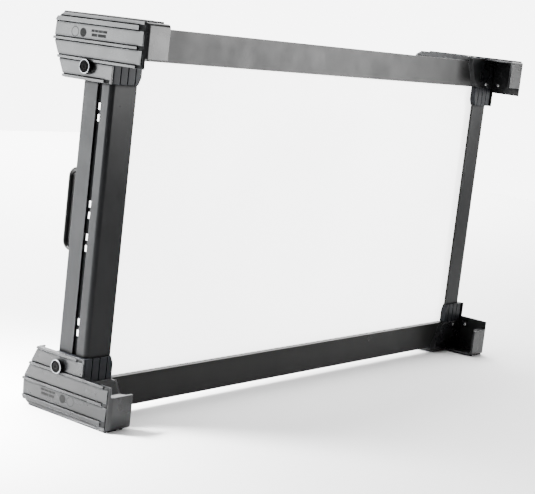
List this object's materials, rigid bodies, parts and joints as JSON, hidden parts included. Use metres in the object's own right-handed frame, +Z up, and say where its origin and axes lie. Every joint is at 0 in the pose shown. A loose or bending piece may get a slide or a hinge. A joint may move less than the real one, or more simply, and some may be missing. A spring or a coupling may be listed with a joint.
{
  "type": "barn door attachment",
  "caption": "Rectangular clamp frame for the front of a panel lamp, with a white diffuser sheet, ribbed pocketed corner brackets, grooved side rails, lock knobs and a rear handle; it carries barn doors.",
  "frame": {"origin": "middle of the base, on the level of the lowest ribs", "axes": "+X to the right along the long side, seen from the front; +Y to the back, where the lamp goes in; the barn doors go on at -Y; +Z up"},
  "size_m": [1.2424, 0.212, 0.678],
  "materials": {
    "anodised_black": "black anodised, satin",
    "bracket_black": "black moulded, satin",
    "collar_black": "blue-black moulded, satin",
    "knob_black": "black, satin, with a worn bright rim",
    "handle_black": "black, semi-gloss",
    "strip_black": "black, dull",
    "opal_white": "opal white, smooth",
    "brass": "turned",
    "steel": "zinc plated"
  },
  "bodies": {
    "side_rails": {"left_side_rail": "anodised_black", "right_side_rail": "anodised_black", "left_groove_strip": "strip_black", "right_groove_strip": "strip_black", "handle_plate": "anodised_black", "carry_handle": "handle_black", "handle_screw_1": "steel", "handle_screw_2": "steel", "diffuser": "opal_white"},
    "top_carriage": {"top_bar": "anodised_black", "corner_bracket_top_left": "bracket_black", "rail_collar_top_left": "collar_black", "lock_bush_top_left": "brass", "plate_screw_top_left": "steel", "wall_screw_top_left": "steel", "bar_screw_1_top_left": "steel", "bar_screw_2_top_left": "steel", "corner_bracket_top_right": "bracket_black", "rail_collar_top_right": "collar_black", "lock_bush_top_right": "brass", "plate_screw_top_right": "steel", "wall_screw_top_right": "steel", "bar_screw_1_top_right": "steel", "bar_screw_2_top_right": "steel"},
    "bottom_carriage": {"bottom_bar": "anodised_black", "corner_bracket_bottom_left": "bracket_black", "rail_collar_bottom_left": "collar_black", "lock_bush_bottom_left": "brass", "plate_screw_bottom_left": "steel", "wall_screw_bottom_left": "steel", "bar_screw_1_bottom_left": "steel", "bar_screw_2_bottom_left": "steel", "corner_bracket_bottom_right": "bracket_black", "rail_collar_bottom_right": "collar_black", "lock_bush_bottom_right": "brass", "plate_screw_bottom_right": "steel", "wall_screw_bottom_right": "steel", "bar_screw_1_bottom_right": "steel", "bar_screw_2_bottom_right": "steel"},
    "washer_top_left": {"lock_washer_top_left": "steel"},
    "knob_top_left": {"lock_knob_top_left": "knob_black", "lock_stud_top_left": "steel"},
    "washer_top_right": {"lock_washer_top_right": "steel"},
    "knob_top_right": {"lock_knob_top_right": "knob_black", "lock_stud_top_right": "steel"},
    "washer_bottom_left": {"lock_washer_bottom_left": "steel"},
    "knob_bottom_left": {"lock_knob_bottom_left": "knob_black", "lock_stud_bottom_left": "steel"},
    "washer_bottom_right": {"lock_washer_bottom_right": "steel"},
    "knob_bottom_right": {"lock_knob_bottom_right": "knob_black", "lock_stud_bottom_right": "steel"}
  },
  "joints": [
    {"name": "top_carriage_slide", "type": "slide", "parent": "side_rails", "child": "top_carriage", "axis": [0, 0, 1], "range_m": [0, 0.045]},
    {"name": "bottom_carriage_slide", "type": "slide", "parent": "side_rails", "child": "bottom_carriage", "axis": [0, 0, -1], "range_m": [0, 0.045]},
    {"name": "lock_travel_top_left", "type": "slide", "parent": "top_carriage", "child": "washer_top_left", "axis": [-1, 0, 0], "range_m": [0, 0.0025]},
    {"name": "lock_knob_turn_top_left", "type": "hinge", "parent": "washer_top_left", "child": "knob_top_left", "pos_m": [-0.62, 0.019, 0.592], "axis": [-1, 0, 0], "range_deg": [0, 720]},
    {"name": "lock_travel_top_right", "type": "slide", "parent": "top_carriage", "child": "washer_top_right", "axis": [1, 0, 0], "range_m": [0, 0.0025]},
    {"name": "lock_knob_turn_top_right", "type": "hinge", "parent": "washer_top_right", "child": "knob_top_right", "pos_m": [0.62, 0.019, 0.592], "axis": [1, 0, 0], "range_deg": [0, 720]},
    {"name": "lock_travel_bottom_left", "type": "slide", "parent": "bottom_carriage", "child": "washer_bottom_left", "axis": [-1, 0, 0], "range_m": [0, 0.0025]},
    {"name": "lock_knob_turn_bottom_left", "type": "hinge", "parent": "washer_bottom_left", "child": "knob_bottom_left", "pos_m": [-0.62, 0.019, 0.086], "axis": [-1, 0, 0], "range_deg": [0, 720]},
    {"name": "lock_travel_bottom_right", "type": "slide", "parent": "bottom_carriage", "child": "washer_bottom_right", "axis": [1, 0, 0], "range_m": [0, 0.0025]},
    {"name": "lock_knob_turn_bottom_right", "type": "hinge", "parent": "washer_bottom_right", "child": "knob_bottom_right", "pos_m": [0.62, 0.019, 0.086], "axis": [1, 0, 0], "range_deg": [0, 720]}
  ],
  "couplings": [
    {"joint": "lock_knob_turn_top_left", "follows": "lock_travel_top_left", "rad_per_m": 5026.5},
    {"joint": "lock_knob_turn_top_right", "follows": "lock_travel_top_right", "rad_per_m": 5026.5},
    {"joint": "lock_knob_turn_bottom_left", "follows": "lock_travel_bottom_left", "rad_per_m": 5026.5},
    {"joint": "lock_knob_turn_bottom_right", "follows": "lock_travel_bottom_right", "rad_per_m": 5026.5}
  ]
}
